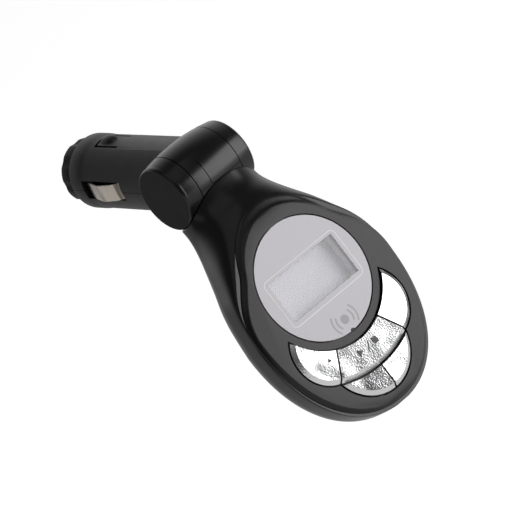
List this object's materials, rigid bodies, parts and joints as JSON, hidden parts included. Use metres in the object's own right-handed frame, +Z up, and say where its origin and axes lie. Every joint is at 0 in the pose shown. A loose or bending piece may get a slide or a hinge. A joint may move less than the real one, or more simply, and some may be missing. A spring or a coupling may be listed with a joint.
{
  "type": "car FM transmitter",
  "caption": "Car FM transmitter: a lighter-socket plug on a tilting friction knuckle carries an egg-shaped head with a display, chrome keys, a data socket and a card slot.",
  "frame": {"origin": "on the plug axis, in the middle of the plain band behind the front edge of the barrel", "axes": "+Y along the plug axis towards the nose, +Z up (the lock tab side), +X across, along the knuckle axis"},
  "size_m": [0.0514, 0.0979, 0.0818],
  "materials": {
    "plug_black": "satin black moulded plastic",
    "gloss_black": "polished black moulded plastic",
    "gunmetal": "gunmetal lacquer over plastic",
    "silver_print": "clear window printed silver on its back",
    "chrome": "bright chromed plastic",
    "champagne": "nickel-plated spring strip",
    "steel": "bright steel",
    "brass": "bare brass",
    "board": "green solder mask on glass fibre",
    "chip": "black moulded package",
    "ferrite": "dark ferrite",
    "sleeve": "blue shrink sleeve",
    "white_plastic": "white moulded plastic",
    "silicone": "grey silicone",
    "glass_dark": "liquid-crystal glass",
    "fuse_glass": "glass tube with plated ends",
    "wire_red": "flexible insulation"
  },
  "bodies": {
    "plug": {"plug_shell_upper": "plug_black", "plug_shell_lower": "plug_black", "hinge_cap_left": "gloss_black", "hinge_cap_right": "gloss_black", "hinge_pins": "steel", "friction_washers": "steel", "plug_board": "board", "plug_coil": "ferrite", "plug_capacitor": "sleeve", "fuse_terminal": "brass", "contact_spring": "steel", "plug_wires": "wire_red"},
    "contact": {"contact_pin": "brass", "fuse": "fuse_glass"},
    "ground_left": {"ground_spring_left": "champagne"},
    "ground_right": {"ground_spring_right": "champagne"},
    "nose_carrier": {"nose_bush": "chip"},
    "nose_ring": {"nose_ring": "plug_black"},
    "head": {"hinge_hub": "gloss_black", "front_shell": "gloss_black", "rear_shell": "gloss_black", "face_plate": "gunmetal", "lens": "silver_print", "display_frame": "silver_print", "display_glass": "glass_dark", "backlight": "white_plastic", "key_mat": "silicone", "main_board": "board", "key_switches": "chip", "usb_socket": "steel", "usb_tongue": "white_plastic", "card_socket": "steel", "infrared_eye": "chip", "decoder_chip": "chip", "radio_chip": "chip", "crystal": "steel", "head_capacitor": "sleeve", "lead_connector": "white_plastic", "head_wires": "wire_red", "board_screws": "steel", "shell_screws": "steel", "neck_screws": "steel"},
    "key_left": {"key_left": "chrome"},
    "key_right": {"key_right": "chrome"},
    "key_play": {"key_play": "chrome"},
    "key_low_left": {"key_low_left": "chrome"},
    "key_low_right": {"key_low_right": "chrome"}
  },
  "joints": [
    {"name": "head_tilt", "type": "hinge", "parent": "plug", "child": "head", "pos_m": [0, -0.0415, 0], "axis": [-1, 0, 0], "range_deg": [-8, 50]},
    {"name": "contact_slide", "type": "slide", "parent": "plug", "child": "contact", "axis": [0, -1, 0], "range_m": [0, 0.0025], "stiffness_N_per_m": 1200, "springref_m": -0.002, "deforming": ["contact_spring"]},
    {"name": "ground_left_slide", "type": "slide", "parent": "plug", "child": "ground_left", "axis": [1, 0, 0], "range_m": [0, 0.0011], "stiffness_N_per_m": 2500, "springref_m": -0.001},
    {"name": "ground_right_slide", "type": "slide", "parent": "plug", "child": "ground_right", "axis": [-1, 0, 0], "range_m": [0, 0.0011], "stiffness_N_per_m": 2500, "springref_m": -0.001},
    {"name": "ring_turn", "type": "hinge", "parent": "nose_carrier", "child": "nose_ring", "pos_m": [0, 0, 0], "axis": [0, 1, 0], "range_deg": [0, 1260]},
    {"name": "ring_advance", "type": "slide", "parent": "plug", "child": "nose_carrier", "axis": [0, 1, 0], "range_m": [0, 0.0035]},
    {"name": "key_left_press", "type": "slide", "parent": "head", "child": "key_left", "axis": [0, 0.9272, -0.3746], "range_m": [0, 0.0006], "stiffness_N_per_m": 900, "springref_m": -0.0006},
    {"name": "key_right_press", "type": "slide", "parent": "head", "child": "key_right", "axis": [0, 0.9272, -0.3746], "range_m": [0, 0.0006], "stiffness_N_per_m": 900, "springref_m": -0.0006},
    {"name": "key_play_press", "type": "slide", "parent": "head", "child": "key_play", "axis": [0, 0.9272, -0.3746], "range_m": [0, 0.0006], "stiffness_N_per_m": 900, "springref_m": -0.0006},
    {"name": "key_low_left_press", "type": "slide", "parent": "head", "child": "key_low_left", "axis": [0, 0.9272, -0.3746], "range_m": [0, 0.0006], "stiffness_N_per_m": 900, "springref_m": -0.0006},
    {"name": "key_low_right_press", "type": "slide", "parent": "head", "child": "key_low_right", "axis": [0, 0.9272, -0.3746], "range_m": [0, 0.0006], "stiffness_N_per_m": 900, "springref_m": -0.0006}
  ],
  "couplings": [
    {"joint": "ring_turn", "follows": "ring_advance", "rad_per_m": 6283.2}
  ]
}
